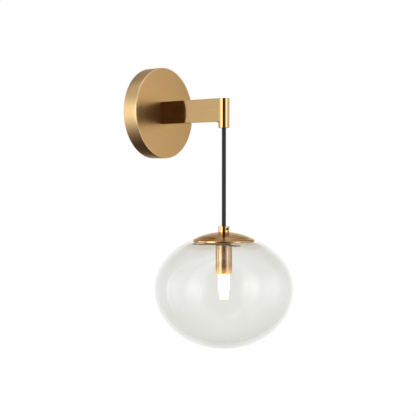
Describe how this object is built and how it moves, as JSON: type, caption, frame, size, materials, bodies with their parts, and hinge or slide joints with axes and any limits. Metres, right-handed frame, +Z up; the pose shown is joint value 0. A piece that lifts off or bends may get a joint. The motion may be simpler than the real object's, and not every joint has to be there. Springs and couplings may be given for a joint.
{
  "type": "globe wall sconce",
  "caption": "Brass wall sconce: a round wall plate and flat arm hold a cord with a clear glass globe under a domed cap, around a plug-in lamp.",
  "frame": {"origin": "centre of the two slotted wall screw holes on the wall plane, which is the centre of the round wall plate's back", "axes": "+Z up; +Y into the wall, so the arm points along -Y into the room; +X to the right for a viewer who faces the wall"},
  "size_m": [0.2, 0.232, 0.4114],
  "materials": {
    "brass_shell": "brushed and lacquered",
    "brass_turned": "polished, fine turning lines",
    "brass_fitting": "plain turned",
    "contact_bronze": "tinned spring strip",
    "zinc_steel": "zinc plated",
    "dark_screw_steel": "blackened",
    "spring_steel": "tempered, satin",
    "cord_cloth": "braided sleeve",
    "core_insulation": "extruded",
    "earth_insulation": "extruded",
    "nylon": "moulded",
    "silicone": "soft, translucent",
    "clear_glass": "clear, blown, fire polished",
    "ceramic": "glazed",
    "lamp_moulding": "moulded",
    "lamp_clear": "frosted inside",
    "lamp_emitter": "phosphor coated"
  },
  "bodies": {
    "wall_unit": {"wall_bracket": "zinc_steel", "canopy": "brass_shell", "canopy_screws": "dark_screw_steel", "arm_bar": "brass_shell", "arm_foot": "brass_fitting", "arm_post": "brass_turned", "arm_screws": "zinc_steel", "arm_washers": "zinc_steel", "terminal_block": "nylon", "terminal_sleeves": "brass_fitting", "terminal_screws": "zinc_steel", "terminal_fixing_screw": "zinc_steel", "ground_lug": "contact_bronze", "ground_screw": "zinc_steel", "mains_leads": "core_insulation", "ground_lead": "earth_insulation", "arm_cord": "cord_cloth", "cord_bush": "nylon", "cord_stop": "brass_fitting"},
    "cord_bend": {"cord_bend": "cord_cloth"},
    "cord": {"cord_drop": "cord_cloth"},
    "pendant": {"collar": "brass_turned", "collar_screw": "dark_screw_steel", "nipple": "brass_fitting", "nipple_nuts": "brass_fitting", "dome_cap": "brass_turned", "glass_gasket": "silicone", "glass_globe": "clear_glass", "glass_retainer": "spring_steel", "retainer_pads": "silicone", "socket_cup": "brass_turned", "holder_plate": "zinc_steel", "lampholder": "ceramic", "holder_screws": "zinc_steel", "holder_contacts": "contact_bronze", "lamp_leads": "core_insulation"},
    "lamp": {"lamp_base": "lamp_moulding", "lamp_pins": "contact_bronze", "lamp_cover": "lamp_clear", "lamp_core": "lamp_emitter"}
  },
  "joints": [
    {"name": "swing_sideways", "type": "hinge", "parent": "wall_unit", "child": "cord_bend", "pos_m": [0, -0.132, -0.02425], "axis": [0, 1, 0], "range_deg": [-25, 25]},
    {"name": "swing_to_wall", "type": "hinge", "parent": "cord_bend", "child": "cord", "pos_m": [0, -0.132, -0.02425], "axis": [1, 0, 0], "range_deg": [-25, 8]},
    {"name": "cord_twist", "type": "hinge", "parent": "cord", "child": "pendant", "pos_m": [0, -0.132, -0.1703], "axis": [0, 0, 1], "range_deg": [-90, 90]},
    {"name": "lamp_pull", "type": "slide", "parent": "pendant", "child": "lamp", "axis": [0, 0, -1], "range_m": [0, 0.016]}
  ]
}
